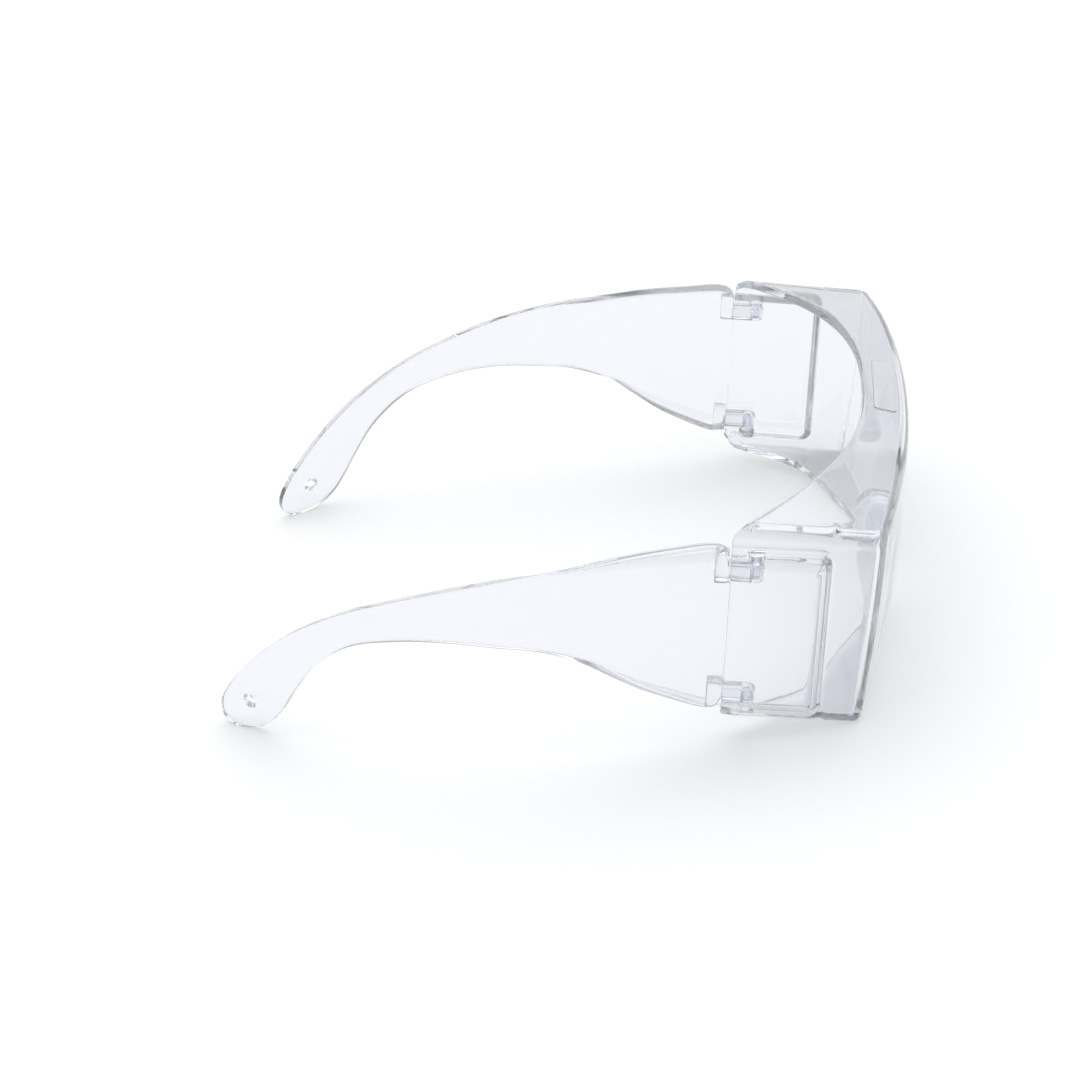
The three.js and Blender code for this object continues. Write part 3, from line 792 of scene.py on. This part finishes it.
def build_peg(side, arm_end, head_end):
    """A stepped hinge peg from its shank in the arm to its head in the front's socket."""
    sign = 1 if head_end > arm_end else -1
    start = arm_end + sign * PEG_SHANK_INSET
    step = arm_end + sign * (ARM_HEIGHT + PEG_STEP_GAP)
    profile = [
        (0, start),
        (PEG_SHANK_RADIUS - PEG_SHANK_CHAMFER, start),
        (PEG_SHANK_RADIUS, start + sign * PEG_SHANK_CHAMFER),
        (PEG_SHANK_RADIUS, step),
        (PEG_RADIUS - PEG_STEP_CHAMFER, step),
        (PEG_RADIUS, step + sign * PEG_STEP_CHAMFER),
        (PEG_RADIUS, head_end - sign * PEG_CHAMFER),
        (PEG_RADIUS - PEG_ROUNDING, head_end - sign * PEG_ROUNDING),
        (PEG_RADIUS - PEG_CHAMFER, head_end),
        (0, head_end)]
    return lathe("peg", profile, side * HINGE_X, 0)


# ---- materials ----

PLASTIC_TINT = (0.906, 0.919, 0.951, 1)
PLASTIC_IOR = 1.585
PLASTIC_ROUGHNESS = 0.03  # at the dullest spots
DULL_SPOTS = 60  # noise scale, per metre
WAVES = 45  # noise scale, per metre
WAVE_STRENGTH = 0.2
WAVE_HEIGHT = 0.0004
ABSORPTION_TINT = (0.40, 0.39, 0.41, 1)
ABSORPTION = 10.0
FLOOR_TINT = (0.69, 0.70, 0.71, 1)
FLOOR_ROUGHNESS = 0.6
FLOOR_GLOW = 0.40  # the table is a lit white panel, so shadows on it stay pale
WHITE = (1, 1, 1, 1)


def clear_polycarbonate():
    """Clear plastic: polish that varies a little, slow moulded waves, and a faint grey depth."""
    mat = bpy.data.materials.new("clear_polycarbonate")
    mat.use_nodes = True
    nodes, links = mat.node_tree.nodes, mat.node_tree.links
    nodes.clear()
    out = nodes.new("ShaderNodeOutputMaterial")
    shader = nodes.new("ShaderNodeBsdfPrincipled")
    shader.inputs["Base Color"].default_value = PLASTIC_TINT
    shader.inputs["IOR"].default_value = PLASTIC_IOR
    shader.inputs["Transmission Weight"].default_value = 1.0
    coords = nodes.new("ShaderNodeTexCoord")

    spots = nodes.new("ShaderNodeTexNoise")
    spots.inputs["Scale"].default_value = DULL_SPOTS
    links.new(coords.outputs["Object"], spots.inputs["Vector"])
    rough = nodes.new("ShaderNodeMapRange")
    rough.inputs["To Min"].default_value = 0.0
    rough.inputs["To Max"].default_value = PLASTIC_ROUGHNESS
    links.new(spots.outputs["Fac"], rough.inputs["Value"])
    links.new(rough.outputs["Result"], shader.inputs["Roughness"])

    waves = nodes.new("ShaderNodeTexNoise")
    waves.inputs["Scale"].default_value = WAVES
    waves.inputs["Detail"].default_value = 1.0
    links.new(coords.outputs["Object"], waves.inputs["Vector"])
    bump = nodes.new("ShaderNodeBump")
    bump.inputs["Strength"].default_value = WAVE_STRENGTH
    bump.inputs["Distance"].default_value = WAVE_HEIGHT
    links.new(waves.outputs["Fac"], bump.inputs["Height"])
    links.new(bump.outputs["Normal"], shader.inputs["Normal"])
    links.new(shader.outputs["BSDF"], out.inputs["Surface"])

    body = nodes.new("ShaderNodeVolumeAbsorption")
    body.inputs["Color"].default_value = ABSORPTION_TINT
    body.inputs["Density"].default_value = ABSORPTION
    links.new(body.outputs["Volume"], out.inputs["Volume"])
    return mat


def floor_material():
    mat = bpy.data.materials.new("pale_floor")
    mat.use_nodes = True
    shader = mat.node_tree.nodes["Principled BSDF"]
    shader.inputs["Base Color"].default_value = FLOOR_TINT
    shader.inputs["Roughness"].default_value = FLOOR_ROUGHNESS
    shader.inputs["Emission Color"].default_value = WHITE
    shader.inputs["Emission Strength"].default_value = FLOOR_GLOW
    return mat


# ---- pieces ----

PLASTIC = clear_polycarbonate()


def dress(obj, name, body, node):
    """Gives a piece its name and plastic, ties it to its body and hides the CAD node it stands in
    for.
    """
    smooth(obj)
    obj.name = name
    obj.data.materials.clear()
    obj.data.materials.append(PLASTIC)
    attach(obj, body)
    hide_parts(node)


dress(build_front(), "front_fine", "front", "front_moulding")

PEG_ENDS = (("upper", UPPER_ARM_Z, UPPER_PEG_TOP),
            ("lower", LOWER_ARM_Z + ARM_HEIGHT, LOWER_PEG_BOTTOM))

for side_name, side in (("left", 1), ("right", -1)):
    body = f"{side_name}_temple_arm"
    dress(build_temple(side), f"{side_name}_temple_fine", body, f"{side_name}_temple")
    for level, arm_end, head_end in PEG_ENDS:
        peg = build_peg(side, arm_end, head_end)
        dress(peg, f"{side_name}_{level}_peg_fine", body, f"{side_name}_{level}_hinge_peg")

# ---- stage ----

FLOOR_SIZE = 6.0
HORIZON = 0.7
OVERHEAD = 0.45
DOME_HEIGHTS = (0.1, 0.35)  # the tent dims from HORIZON to OVERHEAD between these sines
SOFTBOX = 1.2
SOFTBOX_DIRECTION = (0.35, 0.0, 0.94)
SOFTBOX_EDGES = (0.65, 0.93)  # cosines from the softbox's middle: outside it, and fully in it
BOUNCES = 64  # light crosses many walls of the clear moulding

bpy.ops.mesh.primitive_grid_add(x_subdivisions=2, y_subdivisions=2, size=FLOOR_SIZE)
floor = bpy.context.object
floor.name = "floor"
floor.data.materials.append(floor_material())


def studio_world(tree):
    """A dim white tent with one large soft light overhead, a little to the left."""
    nodes, links = tree.nodes, tree.links
    coords = nodes.new("ShaderNodeTexCoord")
    parts = nodes.new("ShaderNodeSeparateXYZ")
    links.new(coords.outputs["Generated"], parts.inputs["Vector"])

    def ramp(source, ends, low, high):
        node = nodes.new("ShaderNodeMapRange")
        node.interpolation_type = "SMOOTHSTEP"
        labels = ("From Min", "From Max", "To Min", "To Max")
        for label, value in zip(labels, (*ends, low, high)):
            node.inputs[label].default_value = value
        links.new(source, node.inputs["Value"])
        return node.outputs["Result"]

    dome = ramp(parts.outputs["Z"], DOME_HEIGHTS, HORIZON, OVERHEAD)
    toward = nodes.new("ShaderNodeVectorMath")
    toward.operation = "DOT_PRODUCT"
    toward.inputs[1].default_value = SOFTBOX_DIRECTION
    links.new(coords.outputs["Generated"], toward.inputs[0])
    softbox = ramp(toward.outputs["Value"], SOFTBOX_EDGES, 0.0, SOFTBOX)
    total = nodes.new("ShaderNodeMath")
    total.operation = "ADD"
    links.new(dome, total.inputs[0])
    links.new(softbox, total.inputs[1])
    links.new(total.outputs["Value"], nodes["Background"].inputs["Strength"])
    nodes["Background"].inputs["Color"].default_value = WHITE


scene = bpy.context.scene
scene.world = bpy.data.worlds.new("studio")
scene.world.use_nodes = True
studio_world(scene.world.node_tree)
scene.view_settings.view_transform = "Standard"
scene.cycles.max_bounces = BOUNCES
scene.cycles.transmission_bounces = BOUNCES
scene.cycles.glossy_bounces = BOUNCES

# ---- camera ----

SENSOR_WIDTH = 36.0
CAMERA_LENS = 104.63
CAMERA_CLIP = (0.01, 50)
CAMERA_POSITION = (-0.66553, -0.06750, 0.37082)
CAMERA_AZIMUTH = math.radians(276.528)
CAMERA_ELEVATION = math.radians(27.933)
CAMERA_ROLL = math.radians(-6.495)


def studio_camera():
    """The camera, turned by its azimuth and elevation and then rolled about its own axis."""
    data = bpy.data.cameras.new("camera")
    data.sensor_width = SENSOR_WIDTH
    data.lens = CAMERA_LENS
    data.clip_start, data.clip_end = CAMERA_CLIP
    obj = bpy.data.objects.new("camera", data)
    scene.collection.objects.link(obj)
    az, el, roll = CAMERA_AZIMUTH, CAMERA_ELEVATION, CAMERA_ROLL
    back = Vector((math.sin(az) * math.cos(el), -math.cos(az) * math.cos(el), math.sin(el)))
    right = Vector((0, 0, 1)).cross(back).normalized()
    up = back.cross(right)
    turned_right = math.cos(roll) * right + math.sin(roll) * up
    turned_up = -math.sin(roll) * right + math.cos(roll) * up
    rotation = Matrix((turned_right, turned_up, back)).transposed()
    obj.matrix_world = Matrix.Translation(CAMERA_POSITION) @ rotation.to_4x4()
    return obj


scene.camera = studio_camera()
